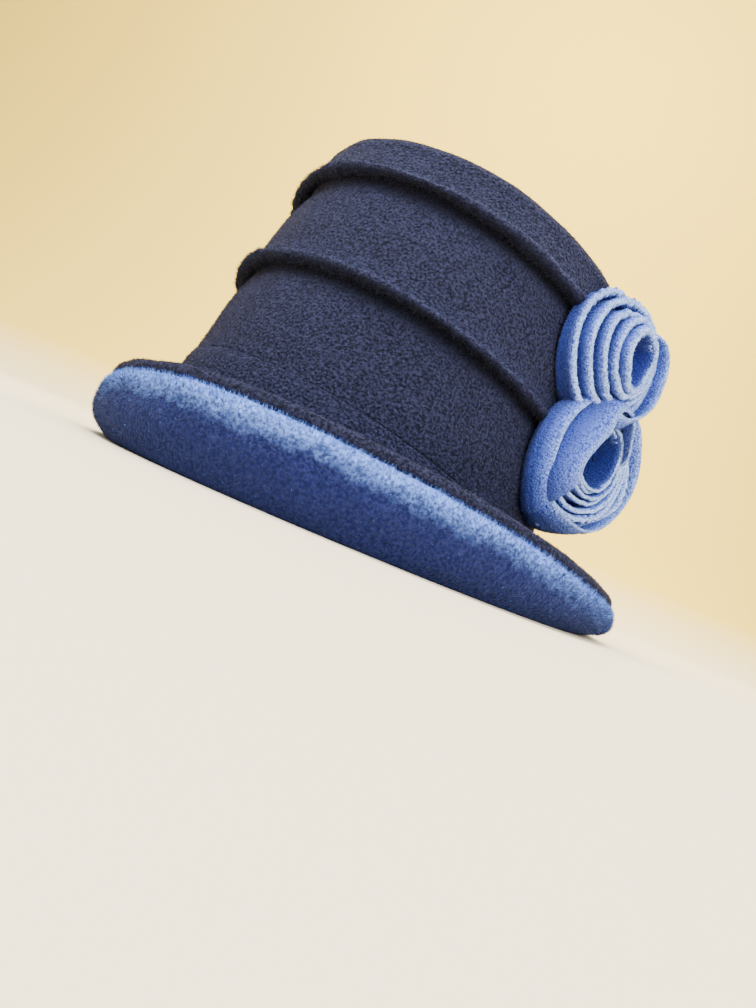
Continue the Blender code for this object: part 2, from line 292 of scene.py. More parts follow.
# Loose petals: the angles round the rose between which one stands, the angle at which its free edge is
# flatter than a circle and by what share, and its section as (radius, out)
PETAL_ROWS = (
    {
        "rose": "rose_lower",
        "from": 50.0,
        "to": 252.0,
        "steps": 150,
        "flatter": 0.05,
        "flat_at": 160.0,
        "thick": 0.0030,
        "profile": ((0.0278, 0.0020), (0.0288, 0.0080), (0.0284, 0.0135), (0.0266, 0.0175)),
    },
    {
        "rose": "rose_lower",
        "from": 22.0,
        "to": 246.0,
        "steps": 160,
        "flatter": 0.16,
        "flat_at": 172.0,
        "thick": 0.0030,
        "profile": (
            (0.0250, 0.0020),
            (0.0252, 0.0145),
            (0.0230, 0.0205),
            (0.0188, 0.0242),
            (0.0150, 0.0258),
        ),
    },
    {
        "rose": "rose_lower",
        "from": -112.0,
        "to": 76.0,
        "steps": 120,
        "flatter": 0.0,
        "flat_at": 0.0,
        "thick": 0.0030,
        "profile": ((0.0272, 0.0020), (0.0280, 0.0100), (0.0286, 0.0160), (0.0290, 0.0195)),
    },
    {
        "rose": "rose_upper",
        "from": -85.0,
        "to": 62.0,
        "steps": 110,
        "flatter": 0.0,
        "flat_at": 0.0,
        "thick": 0.0028,
        "profile": ((0.0230, 0.0020), (0.0242, 0.0120), (0.0228, 0.0200), (0.0192, 0.0262)),
    },
)

# Colours, in linear light. Each fleece's light colour also takes its painted highlights, and its dark
# colour its painted shade
NAVY_DARK = (0.002, 0.003, 0.010, 1.0)
NAVY = (0.022, 0.024, 0.058, 1.0)
NAVY_LIGHT = (0.080, 0.089, 0.200, 1.0)
# The light layer is the same light-blue fleece as the roses: its body and dark colours are darkened as
# painted shade, and its light colour is its painted highlight along the lip as well as its fibres' paler
# tips
BLUE_DARK = (0.004, 0.007, 0.055, 1.0)
SHADED_BLUE = (0.019, 0.024, 0.100, 1.0)
BLUE_LIGHT = (0.205, 0.370, 1.000, 1.0)
ROSE_DARK = (0.014, 0.024, 0.200, 1.0)
ROSE = (0.155, 0.260, 0.860, 1.0)
ROSE_LIGHT = (0.420, 0.600, 1.000, 1.0)
FLOOR_COLOUR = (0.92, 0.80, 0.58, 1.0)
WALL_COLOUR = (0.98, 0.72, 0.13, 1.0)

# Stage: a flat floor, the radius of the bend up into the backdrop, and how far up the bend its colour
# turns from the floor's to the wall's
STAGE_REACH = 2.5
STAGE_BEND_START = 0.9
STAGE_BEND = 1.2
STAGE_HEIGHT = 3.0
STAGE_TONE_RISE = 0.12
STAGE_HALF_WIDTH = 3.5
STAGE_BEND_POINTS = 31

# Fleece: the range of its noise that goes from between two nubs to the top of one, how many curls a nub
# holds, how many worn patches there are in a metre and how much of the dark they hide, and how much of a
# tone shows even between the nubs
NUB_RANGE = (0.40, 0.60)
CURLS_A_NUB = 0.8
PATCH_SCALE = 60.0
PATCH_SHARE = 0.25
LEAST_MOTTLE = 0.55

# The three fleeces: their colours, nub and relief in metres, and the sheen of the cloth and of its nap
FLEECE_ROWS = (
    {
        "name": "navy",
        "dark": NAVY_DARK,
        "body": NAVY,
        "light": NAVY_LIGHT,
        "nub": 0.0011,
        "relief": 0.0011,
        "sheen": 0.22,
        "nap_sheen": 0.2,
    },
    {
        "name": "blue",
        "dark": BLUE_DARK,
        "body": SHADED_BLUE,
        "light": BLUE_LIGHT,
        "nub": 0.0013,
        "relief": 0.0011,
        "sheen": 0.15,
        "nap_sheen": 0.1,
    },
    {
        "name": "rose",
        "dark": ROSE_DARK,
        "body": ROSE,
        "light": ROSE_LIGHT,
        "nub": 0.0008,
        "relief": 0.0007,
        "sheen": 0.20,
        "nap_sheen": 0.1,
    },
)

# Light, each lamp aimed at a point
SURROUND = 0.80
LAMP_COLOUR = (0.95, 0.97, 1.0)
WARM_LAMP_COLOUR = (1.0, 0.90, 0.60)
HAT_MIDDLE = (0.0, 0.0, 0.07)
BACKDROP_MIDDLE = (-0.95, 1.75, 0.5)
LIGHT_ROWS = (
    {
        "name": "key",
        "place": (-0.20, -0.55, 1.30),
        "aim": HAT_MIDDLE,
        "size": 0.5,
        "power": 31.0,
        "colour": LAMP_COLOUR,
    },
    {
        "name": "fill",
        "place": (1.05, -0.95, 0.78),
        "aim": HAT_MIDDLE,
        "size": 1.0,
        "power": 38.0,
        "colour": LAMP_COLOUR,
    },
    {
        "name": "rim",
        "place": (0.40, 1.00, 1.00),
        "aim": HAT_MIDDLE,
        "size": 0.9,
        "power": 7.0,
        "colour": LAMP_COLOUR,
    },
    {
        "name": "low",
        "place": (0.55, -1.05, 0.16),
        "aim": HAT_MIDDLE,
        "size": 0.4,
        "power": 1.4,
        "colour": LAMP_COLOUR,
    },
    {
        "name": "backdrop",
        "place": (-0.10, 0.60, 1.90),
        "aim": BACKDROP_MIDDLE,
        "size": 1.4,
        "power": 110.0,
        "colour": WARM_LAMP_COLOUR,
    },
)

# Camera: the photograph's bearing, distance and roll, lifted to just above the floor
VIEW_AZIMUTH = math.radians(28.0)
VIEW_ELEVATION = math.radians(-1.25)
VIEW_ROLL = math.radians(22.81)
VIEW_PLACE = (0.187, -0.340, 0.012)
VIEW_LENS = 27.03


# Small tools


def ripple(points, wavelength, seed, waves=16):
    """Smooth noise of about -1 to 1: plane waves in seeded directions, of about this wavelength."""
    rng = np.random.default_rng(seed)
    direction = rng.normal(size=(waves, 3))
    direction /= np.linalg.norm(direction, axis=1)[:, None]
    pace = 2.0 * math.pi / (wavelength * rng.uniform(0.7, 1.5, waves))
    phase = rng.uniform(0.0, 2.0 * math.pi, waves)
    total = np.zeros(points.shape[:-1])
    for i in range(waves):
        total += np.cos(points @ direction[i] * pace[i] + phase[i])
    return total / math.sqrt(waves)


def rippled(points, waves):
    """The sum of ripples given as (wavelength, seed, height) rows."""
    return sum(ripple(points, wavelength, seed) * height for wavelength, seed, height in waves)


def smooth(value, low, high):
    """0 below low, 1 above high, and a soft step between."""
    share = np.clip((value - low) / (high - low), 0.0, 1.0)
    return share * share * (3.0 - 2.0 * share)


def eased(points, t):
    """The Catmull-Rom curve of four points or values, at the share t of the way from the second on."""
    before, start, end, after = points
    ease = (end - before) * t + (2.0 * before - 5.0 * start + 4.0 * end - after) * t**2
    ease += (3.0 * start - before - 3.0 * end + after) * t**3
    return start + ease * 0.5


def spline(points, step):
    """An open Catmull-Rom curve through these points, sampled about a step apart."""
    points = np.asarray(points, float)
    ends = np.vstack((2.0 * points[0] - points[1], points, 2.0 * points[-1] - points[-2]))
    made = []
    for i in range(len(points) - 1):
        count = max(1, math.ceil(np.linalg.norm(points[i + 1] - points[i]) / step))
        made.append(eased(ends[i : i + 4], (np.arange(count) / count)[:, None]))
    made.append(points[-1:])
    return np.vstack(made)


def around(rows, key, azimuth):
    """The column's values at these azimuths, on a smooth closed curve through its rows."""
    knots = np.array([row["azimuth"] for row in rows] + [360.0])
    values = np.array([row[key] for row in rows])
    degrees = np.degrees(azimuth) % 360.0
    index = np.searchsorted(knots, degrees, side="right") - 1
    share = (degrees - knots[index]) / (knots[index + 1] - knots[index])
    return eased([values[(index + i) % len(rows)] for i in (-1, 0, 1, 2)], share)


def turned(axis, angle):
    """A rotation matrix about X or Y."""
    c, s = math.cos(angle), math.sin(angle)
    if axis == "X":
        return np.array(((1.0, 0.0, 0.0), (0.0, c, -s), (0.0, s, c)))
    return np.array(((c, 0.0, s), (0.0, 1.0, 0.0), (-s, 0.0, c)))


CROWN_TURN = turned("X", -CROWN_LEAN) @ turned("Y", CROWN_TIP_SIDE)


def from_crown(points):
    """Points of the crown's own frame, above its seam, in the hat's frame."""
    return points @ CROWN_TURN.T + SEAM_MIDDLE


def oval(azimuth, half, height=0.0):
    """Points at these azimuths on ovals of these half widths and half lengths (last axis 2)."""
    half = np.asarray(half)
    x = half[..., 0] * np.sin(azimuth)
    y = -half[..., 1] * np.cos(azimuth)
    return np.stack(np.broadcast_arrays(x, y, height), axis=-1)


def unit(vectors):
    return vectors / np.maximum(np.linalg.norm(vectors, axis=-1), 1e-12)[..., None]


def normals_of(grid):
    """Unit normals of a grid of points that is closed along both of its axes."""
    across = np.roll(grid, -1, axis=0) - np.roll(grid, 1, axis=0)
    along = np.roll(grid, -1, axis=1) - np.roll(grid, 1, axis=1)
    return unit(np.cross(along, across))


def grid_faces(rows, columns, close_rows, close_columns):
    """Quads of a grid of points, joined round where an axis is closed."""
    i = np.arange(rows if close_rows else rows - 1)
    j = np.arange(columns if close_columns else columns - 1)
    i, j = np.meshgrid(i, j, indexing="ij")
    below, beside = (i + 1) % rows, (j + 1) % columns
    quads = (i * columns + j, i * columns + beside, below * columns + beside, below * columns + j)
    return np.stack(quads, axis=-1).reshape(-1, 4)


def add_mesh(name, points, faces, material, shade=None):
    """A smooth mesh object of quads or triangles, with one number a point for its material."""
    mesh = bpy.data.meshes.new(name)
    faces = faces if isinstance(faces, list) else faces.tolist()
    mesh.from_pydata(points.reshape(-1, 3).tolist(), [], faces)
    if shade is not None:
        layer = mesh.attributes.new("shade", "FLOAT", "POINT")
        layer.data.foreach_set("value", np.ravel(shade).astype(np.float32))
    mesh.shade_smooth()
    obj = bpy.data.objects.new(name, mesh)
    obj.data.materials.append(material)
    bpy.context.scene.collection.objects.link(obj)
    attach(obj, "root")
    return obj


# Materials


def node(tree, kind, inputs=(), **settings):
    """A shader node with these settings, and inputs given as (name, value or socket) pairs."""
    made = tree.nodes.new(kind)
    for key, value in settings.items():
        setattr(made, key, value)
    for name, value in inputs:
        if isinstance(value, bpy.types.NodeSocket):
            tree.links.new(value, made.inputs[name])
        else:
            made.inputs[name].default_value = value
    return made


def mixed(tree, share, first, second):
    """The colour socket of a mix from first to second."""
    pairs = (("Factor", share), ("A", first), ("B", second))
    made = tree.nodes.new("ShaderNodeMix")
    made.data_type = "RGBA"
    sockets = {"Factor": made.inputs[0], "A": made.inputs[6], "B": made.inputs[7]}
    for name, value in pairs:
        if isinstance(value, bpy.types.NodeSocket):
            tree.links.new(value, sockets[name])
        else:
            sockets[name].default_value = value
    return made.outputs[2]


def toned(tree, shade, body, light, dark):
    """A colour socket: from body to light where shade is above 0, and to dark where it is below."""
    below = node(tree, "ShaderNodeMath", ((0, shade), (1, -1.0)), operation="MULTIPLY").outputs[0]
    return mixed(tree, below, mixed(tree, shade, body, light), dark)


def fleece(row):
    """The cloth: a pile of nubs, dark between them, toned by the shade attribute."""
    dark, body, light, nub = (row[key] for key in ("dark", "body", "light", "nub"))
    material = bpy.data.materials.new(row["name"] + "_fleece")
    material.use_nodes = True
    tree = material.node_tree
    shader = tree.nodes["Principled BSDF"]
    place = node(tree, "ShaderNodeTexCoord").outputs["Object"]
    pile = node(tree, "ShaderNodeTexNoise", (("Vector", place), ("Scale", 1.0 / nub), ("Detail", 3.0)))
    spread = (("Vector", place), ("Scale", PATCH_SCALE), ("Detail", 2.0))
    patch = node(tree, "ShaderNodeTexNoise", spread)
    curl = node(tree, "ShaderNodeTexVoronoi", (("Vector", place), ("Scale", CURLS_A_NUB / nub)))
    low, high = NUB_RANGE
    span = (("Value", pile.outputs["Fac"]), ("From Min", low), ("From Max", high))
    grain = node(tree, "ShaderNodeMapRange", span).outputs["Result"]
    painted_tone = node(tree, "ShaderNodeAttribute", attribute_name="shade").outputs["Fac"]
    mottle = node(tree, "ShaderNodeMath", ((0, grain), (1, LEAST_MOTTLE)), operation="ADD").outputs[0]
    shade = node(tree, "ShaderNodeMath", ((0, painted_tone), (1, mottle)), operation="MULTIPLY").outputs[0]
    nubby = mixed(tree, grain, dark, body)
    patchy = node(tree, "ShaderNodeMapRange", (("Value", patch.outputs["Fac"]), ("To Max", PATCH_SHARE)))
    worn = mixed(tree, patchy.outputs["Result"], nubby, body)
    # Painted highlights in the shade attribute go towards the light colour, painted shade towards the dark
    # one
    tree.links.new(toned(tree, shade, worn, light, dark), shader.inputs["Base Color"])
    height = node(
        tree,
        "ShaderNodeMath",
        ((0, pile.outputs["Fac"]), (1, curl.outputs["Distance"])),
        operation="SUBTRACT",
    )
    relief = node(tree, "ShaderNodeBump", (("Height", height.outputs[0]), ("Distance", row["relief"])))
    relief.inputs["Strength"].default_value = 1.0
    tree.links.new(relief.outputs["Normal"], shader.inputs["Normal"])
    shader.inputs["Roughness"].default_value = 1.0
    shader.inputs["Specular IOR Level"].default_value = 0.15
    shader.inputs["Sheen Weight"].default_value = row["sheen"]
    shader.inputs["Sheen Roughness"].default_value = 0.45
    halfway = [(first + second) / 2.0 for first, second in zip(body, light)]
    shader.inputs["Sheen Tint"].default_value = halfway
    return material


def nap_material(row):
    """The loose fibres, from the body's colour at their roots to the light one at their tips."""
    root, tip = row["body"], row["light"]
    material = bpy.data.materials.new(row["name"] + "_nap")
    material.use_nodes = True
    tree = material.node_tree
    shader = tree.nodes["Principled BSDF"]
    shade = node(tree, "ShaderNodeAttribute", attribute_name="shade").outputs["Fac"]
    # The shade attribute holds the fibres' paler tips and clumps and the painted highlights and painted
    # shade of the cloth under them
    tree.links.new(toned(tree, shade, root, tip, row["dark"]), shader.inputs["Base Color"])
    shader.inputs["Roughness"].default_value = 0.9
    shader.inputs["Specular IOR Level"].default_value = 0.2
    shader.inputs["Sheen Weight"].default_value = row["nap_sheen"]
    shader.inputs["Sheen Tint"].default_value = tip
    return material


# Nap


def sampled(grid, weight, name):
    """A piece's fibres over a closed grid, by area and weight: place, normal, and grid row and column."""
    count, rng = NAP_COUNTS[name], np.random.default_rng(PLACE_SEEDS[name])
    normal = normals_of(grid)
    below = np.roll(grid, -1, axis=0)
    beside = np.roll(grid, -1, axis=1)
    area = np.linalg.norm(np.cross(below - grid, beside - grid), axis=-1) * weight
    total = np.cumsum(area.ravel())
    index = np.searchsorted(total, rng.uniform(0.0, total[-1], count))
    i, j = np.unravel_index(np.minimum(index, area.size - 1), area.shape)
    s, t = rng.uniform(size=(2, count, 1))
    place = grid[i, j] + (below[i, j] - grid[i, j]) * s + (beside[i, j] - grid[i, j]) * t
    return place, normal[i, j], i, j


def nap(name, place, normal, length, width, sweep, painted_light, material, seed):
    """A leaning fibre at each place: a slim triangle, shaded as if it faced as the cloth under it does."""
    rng = np.random.default_rng(seed)
    count = len(place)
    tuft = np.stack([ripple(place, TUFT_PITCH, seed + k, 12) for k in range(3)], axis=-1)
    lean = unit(normal + sweep + tuft * TUFT_LEAN + rng.normal(scale=FIBRE_LEAN, size=(count, 3)))
    side = unit(np.cross(lean, rng.normal(size=(count, 3)))) * (width / 2.0)
    tip = place + lean * (length * rng.uniform(*FIBRE_LENGTHS, count))[:, None]
    points = np.stack((place - side, place + side, tip), axis=1)
    # The fibres take on the painted highlights and painted shade of the cloth under them
    shade = np.array((0.0, 0.0, 1.0)) * rng.uniform(*FIBRE_TIP_TONES, (count, 1)) + painted_light[:, None]
    shade *= rng.uniform(*FIBRE_TONES, (count, 1))
    shade += NAP_MOTTLE * ripple(place, NAP_MOTTLE_PITCH, seed + 9)[:, None] - NAP_MOTTLE_DARKER
    obj = add_mesh(name, points, np.arange(count * 3).reshape(-1, 3), material, shade)
    facing = unit(normal * FIBRE_FACING[0] + lean * FIBRE_FACING[1])
    obj.data.normals_split_custom_set_from_vertices(np.repeat(facing, 3, axis=0).tolist())
    return obj


# Crown


def welt_section(inside, height):
    """The rolled lower edge of a tier, from the dent above it round under to the tier's inner face."""
    middle = inside + WELT_THICKNESS - WELT_ROLL
    angle = np.radians(np.linspace(*WELT_ARC, WELT_ARC_POINTS))
    offset = middle + WELT_ROLL * np.cos(angle)
    arc = np.stack((offset, height + WELT_ROLL * (1.0 + np.sin(angle))), axis=1)
    dent = (inside + FLEECE + WELT_DENT, height + WELT_ROLL * 2.0 + WELT_DENT * 2.0)
    return [dent, *arc, (inside, height + WELT_ROLL * 1.6)]


def wall_section(top, bottom, steps=8):
    """The outer face of a tier from its top (offset, height) to its bottom, a little swollen between."""
    share = np.linspace(0.0, 1.0, steps)[:, None]
    line = np.array(top) + (np.array(bottom) - np.array(top)) * share
    line[:, 0] += TIER_SWELL * np.sin(math.pi * share[:, 0])
    return list(line)


def rings_of(section):
    """Section points as rings of half width, half length and height."""
    section = np.array(section)
    return np.column_stack((SEAM_HALF[0] + section[:, 0], SEAM_HALF[1] + section[:, 0], section[:, 1]))


def closed_wall(outer, inner):
    """Rings down the outside of a cloth wall and up its inside, finely sampled."""
    return spline(rings_of(outer), SECTION_STEP), spline(rings_of(inner), INSIDE_STEP)


def lower_tier():
    outer = wall_section((LOWER_TOP, LOWER_TIER), (0.0, 0.0))
    outer.insert(0, (LOWER_TOP, LOWER_TIER + TUCK))
    return closed_wall(outer, [(offset - FLEECE, height) for offset, height in reversed(outer)])


def middle_tier():
    start, end = LOWER_TIER, LOWER_TIER + MIDDLE_TIER
    outer = wall_section((MIDDLE_TOP, end), (MIDDLE_INSIDE + FLEECE, start + WELT_RISE))
    outer.insert(0, (MIDDLE_TOP, end + TUCK))
    inner = [(offset - FLEECE, height) for offset, height in reversed(outer)]
    return closed_wall(outer + welt_section(MIDDLE_INSIDE, start), inner)


def tip_rings(offset, height, rise, steps=26):
    """A soft dome from its middle out to its shoulder, which stands this far from the seam oval."""
    angle = np.linspace(0.0, 0.5 * math.pi, steps)[:, None]
    share = np.sin(angle) ** (2.0 / TIP_SQUARENESS)
    top = height + rise * np.maximum(np.cos(angle), 0.0) ** (2.0 / TIP_SQUARENESS)
    return np.hstack(((SEAM_HALF + offset) * np.maximum(share, TIP_MIDDLE), top))


def top_tier():
    start = LOWER_TIER + MIDDLE_TIER
    shoulder = start + WELT_RISE + TOP_WALL
    wall = TOP_INSIDE + FLEECE
    upper = wall - TIP_DRAW
    side = rings_of([(wall, start + WELT_RISE), *welt_section(TOP_INSIDE, start)])
    down = spline(np.vstack((tip_rings(upper, shoulder, TIP_RISE), side)), SECTION_STEP)
    inside = rings_of([(TOP_INSIDE, start + WELT_RISE)])
    up = tip_rings(upper - FLEECE, shoulder, TIP_RISE - FLEECE)[::-1]
    return down, spline(np.vstack((inside, up)), INSIDE_STEP)


def crown_grid(rings, covered, welted):
    """Points round the crown through these rings, with the soft unevenness of sewn cloth on its outside.

    With them come how fuzzy each point is, 0 inside and most on a welt, and the pile's painted tone. It
    has painted shade where the tier above covers it, from the height covered up. On a welt, which ends at
    the height welted, it has a painted highlight on top and painted shade underneath.
    """
    down, up = rings
    loop = np.vstack((down, up))
    azimuth = np.linspace(0.0, 2.0 * math.pi, STEPS_AROUND, endpoint=False)[:, None]
    grid = oval(azimuth, loop[None, :, :2], loop[None, :, 2])
    outside = np.zeros(len(loop))
    outside[: len(down)] = 1.0
    normal = normals_of(grid)
    on_welt = 1.0 - smooth(grid[..., 2], welted - WELT_BLEND, welted + WELT_BLEND)
    upward = normal[..., 2] * on_welt
    # Painted highlight on top of a welt and painted shade under it, and painted shade where the tier above
    # covers the pile
    painted_tone = WELT_TOP_HIGHLIGHT * np.maximum(upward, 0.0) - WELT_UNDER_SHADE * np.maximum(-upward, 0.0)
    painted_tone -= COVERED_SHADE * smooth(grid[..., 2], covered - COVERED_DEPTH, covered)
    fuzz = 1.0 + WELT_FUZZ * on_welt
    uneven = rippled(grid, CROWN_WAVES) + rippled(grid, (WELT_WAVE,)) * (fuzz - 1.0)
    grid = grid + normal * (uneven * outside)[..., None]
    return from_crown(grid), fuzz * outside, painted_tone


def crown_piece(name, rings, tones, looks):
    """A tier of the crown with its nap, in place of its solid."""
    grid, fuzz, painted_tone = crown_grid(rings, *tones)
    faces = grid_faces(*grid.shape[:2], True, True)
    cloth = add_mesh(name + "_cloth", grid, faces, looks["navy"], painted_tone)
    place, normal, i, j = sampled(grid, fuzz**WELT_DENSER_POWER, name)
    length = NAVY_NAP * fuzz[i, j]
    painted_light, look = painted_tone[i, j], looks["navy_nap"]
    seed = FIBRE_SEEDS[name]
    fibres = nap(name + "_nap", place, normal, length, NAVY_FIBRE, CROWN_SWEEP, painted_light, look, seed)
    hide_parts(name)


# Brim


def crease(azimuth):
    total = np.zeros_like(azimuth)
    for row in CREASE_ROWS:
        away = (np.degrees(azimuth) - row["azimuth"]) / row["spread"]
        total += CREASE_DEPTH * row["depth"] * np.exp(-away * away)
    return total


def brim_guides(azimuth):
    """The points that the middle of the brim's layers passes through, from the seam out to the lip."""
    rise = LIP_HEIGHT * around(BRIM_ROWS, "rise", azimuth)
    lean = LIP_LEAN * around(BRIM_ROWS, "lean", azimuth)
    swell = WALL_SWELL * around(BRIM_ROWS, "swell", azimuth)
    drop = around(BRIM_ROWS, "drop", azimuth)
    half = np.broadcast_to(BRIM_HALF - FLEECE - CLEARANCE, (len(azimuth), 2))
    middle = -FLEECE - CLEARANCE / 2.0
    seam = from_crown(oval(azimuth, SEAM_HALF + middle, -CLEARANCE))
    neck = from_crown(oval(azimuth, SEAM_HALF + middle, -NECK_DROP))
    neck += oval(azimuth, (NECK_SPREAD, NECK_SPREAD))
    fold = [
        oval(azimuth, half - (lean + swell)[:, None] + side, FOLD_HEIGHT)
        for side in (-FOLD_FLAT / 2.0, FOLD_FLAT / 2.0)
    ]
    slope = (neck + fold[0]) / 2.0
    slope[:, 2] = neck[:, 2] + (fold[0][:, 2] - neck[:, 2]) * drop + crease(azimuth)
    swollen = oval(azimuth, half, FOLD_HEIGHT + WALL_WIDEST * (rise - FOLD_HEIGHT))
    lip = oval(azimuth, half - (LIP_TURN_IN * swell)[:, None], rise)
    return [seam, neck, slope, *fold, swollen, lip]


def brim_paths():
    """Rows of points along the middle of the brim's layers, with their normals to the crown's side."""
    azimuth = np.linspace(0.0, 2.0 * math.pi, STEPS_AROUND, endpoint=False)
    guides = brim_guides(azimuth)
    ends = [2.0 * guides[0] - guides[1], *guides, 2.0 * guides[-1] - guides[-2]]
    path = []
    for i, count in enumerate(BRIM_STEPS):
        path += [eased(ends[i : i + 4], t) for t in np.arange(count) / count]
    paths = np.stack([*path, guides[-1]], axis=1)
    along = np.gradient(paths, axis=1)
    across = np.roll(paths, -1, axis=0) - np.roll(paths, 1, axis=0)
    return paths, unit(np.cross(along, across))


def lengths_to_lip(paths):
    """How far each point of the brim's paths is from the lip, measured along the cloth."""
    steps = np.linalg.norm(np.diff(paths, axis=1), axis=-1)
    left = np.cumsum(steps[:, ::-1], axis=1)[:, ::-1]
    return np.concatenate((left, np.zeros((len(paths), 1))), axis=1)


def facing_piece(looks):
    """The light layer: its fluffy outer face, rounded off under the lip, and its plain inner face."""
    paths, normals = brim_paths()
    to_lip = lengths_to_lip(paths)
    rounding = np.sqrt(np.clip(1.0 - (1.0 - to_lip / EDGE_ROUND) ** 2, 0.0, 1.0))
    rounding[to_lip > EDGE_ROUND] = 1.0
    thick = FLEECE * (EDGE_THICKNESS + (1.0 - EDGE_THICKNESS) * rounding)
    uneven = rippled(paths, FACING_WAVES)
    free = smooth(paths[..., 2], *UNEVEN_FROM)
    near = paths - normals * (CLEARANCE / 2.0)
    far = paths - normals * (CLEARANCE / 2.0 + thick + uneven * free)[..., None]
    far[..., 2] = np.maximum(far[..., 2], 0.0)
    grid = np.concatenate((far[:, ::-1], near), axis=1)
    columns = paths.shape[1]
    # Painted highlight along the lip and painted shade towards the fold, on the light layer's outer face
    # only
    painted_light = np.concatenate((lip_painted_light(to_lip, paths)[:, ::-1], np.zeros(to_lip.shape)), axis=1)
    faces = grid_faces(*grid.shape[:2], True, True)
    cloth = add_mesh("brim_facing_cloth", grid, faces, looks["blue"], painted_light)
    weight = np.zeros(grid.shape[:2])
    clear = smooth(far[..., 2], *FLOOR_DENSITY_HEIGHTS)
    weight[:, :columns] = (FLOOR_DENSITY + (1.0 - FLOOR_DENSITY) * clear)[:, ::-1]
    weight[:, :columns] *= 1.0 + LIP_DENSER * smooth(to_lip[:, ::-1], LIP_PILE, 0.0)
    place, normal, i, j = sampled(grid, weight, "brim_facing")
    left = np.concatenate((to_lip[:, ::-1], to_lip), axis=1)[i, j]
    length = BLUE_NAP + EDGE_NAP * smooth(left, LIP_PILE, LIP_PILE_END)
    length *= FLOOR_LENGTH + (1.0 - FLOOR_LENGTH) * smooth(place[:, 2], 0.0, FLOOR_LENGTH_HEIGHT)
    upward = np.array((0.0, 0.0, LIP_UPRIGHT_SWEEP)) * smooth(left, LIP_UPRIGHT, 0.0)[:, None]
    sweep = unit(place * (1.0, 1.0, 0.0)) * OUTWARD_SWEEP + upward
    look, seed = looks["blue_nap"], FIBRE_SEEDS["brim_facing"]
    fibres = nap("brim_facing_nap", place, normal, length, BLUE_FIBRE, sweep, painted_light[i, j], look, seed)
    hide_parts("brim_facing")


def lip_painted_light(to_lip, paths):
    """How much painted highlight the pile has along the lip, where it also stands up, and how much painted
    shade darker towards the fold.
    """
    tall = paths[:, -1:, 2] / LIP_HEIGHT
    depth = GLOW_DEPTH * (GLOW_AT_LOWEST + (1.0 - GLOW_AT_LOWEST) * tall)
    depth = depth * (1.0 + rippled(paths, GLOW_WAVES))
    fade = np.exp(-((to_lip / (GLOW_FADE * depth)) ** GLOW_FADE_POWER))
    return GLOW_HIGHLIGHT * fade - LOWER_WALL_SHADE * smooth(to_lip, *LOWER_WALL_SHADE_DEPTHS)


def outer_piece(looks):
    """The navy layer: its upper face, the seam along the lip, and the roll over the light layer's edge."""
    paths, normals = brim_paths()
    to_lip = lengths_to_lip(paths)
    uneven = rippled(paths, OUTER_WAVES)
    seam = np.exp(-(((to_lip - LIP_SEAM) / LIP_SEAM_WIDTH) ** 2))
    ridge = np.exp(-(((to_lip - LIP_RIDGE) / LIP_RIDGE_WIDTH) ** 2))
    uneven += LIP_SEAM_DEPTH * (LIP_RIDGE_SHARE * ridge - seam)
    near = paths + normals * (CLEARANCE / 2.0)
    far = paths + normals * (CLEARANCE / 2.0 + FLEECE + uneven)[..., None]
    up = unit(paths[:, -1] - paths[:, -2])
    inward = normals[:, -1]
    radius = LIP_ROLL * LIP_ROLL_SHARE
    middle = paths[:, -1] + inward * (CLEARANCE / 2.0 + FLEECE - radius) + up * (radius + CLEARANCE)
    wobble = radius * (1.0 + rippled(paths[:, -1], ROLL_WAVES))
    roll = []
    for angle in ROLL_ANGLES:
        out = inward * math.cos(angle) + up * math.sin(angle)
        roll.append(middle + out * wobble[:, None])
    grid = np.concatenate((far, np.stack(roll, axis=1), near[:, ::-1]), axis=1)
    painted_tone = np.zeros(grid.shape[:2])
    # Painted shade in the groove of the seam along the lip
    painted_tone[:, : paths.shape[1]] = LIP_SEAM_SHADE * seam
    faces = grid_faces(*grid.shape[:2], True, True)
    cloth = add_mesh("brim_outer_cloth", grid, faces, looks["navy"], painted_tone)
    weight = np.zeros(grid.shape[:2])
    shown = paths.shape[1] + len(roll)
    weight[:, :shown] = 1.0
    weight[:, paths.shape[1] - 4 : shown] = ROLL_DENSITY
    place, normal, i, j = sampled(grid, weight, "brim_outer")
    painted_light, look, upright, seed = painted_tone[i, j], looks["navy_nap"], np.zeros(3), FIBRE_SEEDS["brim_outer"]
    fibres = nap("brim_outer_nap", place, normal, NAVY_NAP, NAVY_FIBRE, upright, painted_light, look, seed)
    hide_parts("brim_outer")


# Roses


def crown_reach(height):
    """How far the crown's outermost line stands outside the seam oval at this height above the seam."""
    upper = TOP_INSIDE + WELT_THICKNESS
    lower = MIDDLE_INSIDE + WELT_THICKNESS
    return lower + (upper - lower) * np.maximum((height - LOWER_TIER) / MIDDLE_TIER, 0.0)


def on_crown(point, outward):
    """How far along the level direction outward these points are from leaving the crown."""
    half = SEAM_HALF + crown_reach(point[..., 2])[..., None]
    a = (outward[0] / half[..., 0]) ** 2 + (outward[1] / half[..., 1]) ** 2
    b = point[..., 0] * outward[0] / half[..., 0] ** 2 + point[..., 1] * outward[1] / half[..., 1] ** 2
    c = (point[..., 0] / half[..., 0]) ** 2 + (point[..., 1] / half[..., 1]) ** 2 - 1.0
    return (-b + np.sqrt(np.maximum(b * b - a * c, 0.0))) / a


def rose_axes(row):
    """The middle of a rose's back, and its directions aside, up and out, in the crown's frame."""
    azimuth = math.radians(row["azimuth"])
    height = row["height"] * (LOWER_TIER + MIDDLE_TIER)
    half = SEAM_HALF + crown_reach(height)
    back = oval(azimuth, half, height)
    square = math.atan2(back[0] / half[0] ** 2, -back[1] / half[1] ** 2)
    outward = oval(square - math.radians(row["turn"]), (1.0, 1.0))
    up = np.array((0.0, 0.0, 1.0))
    return back, np.cross(up, outward), up, outward


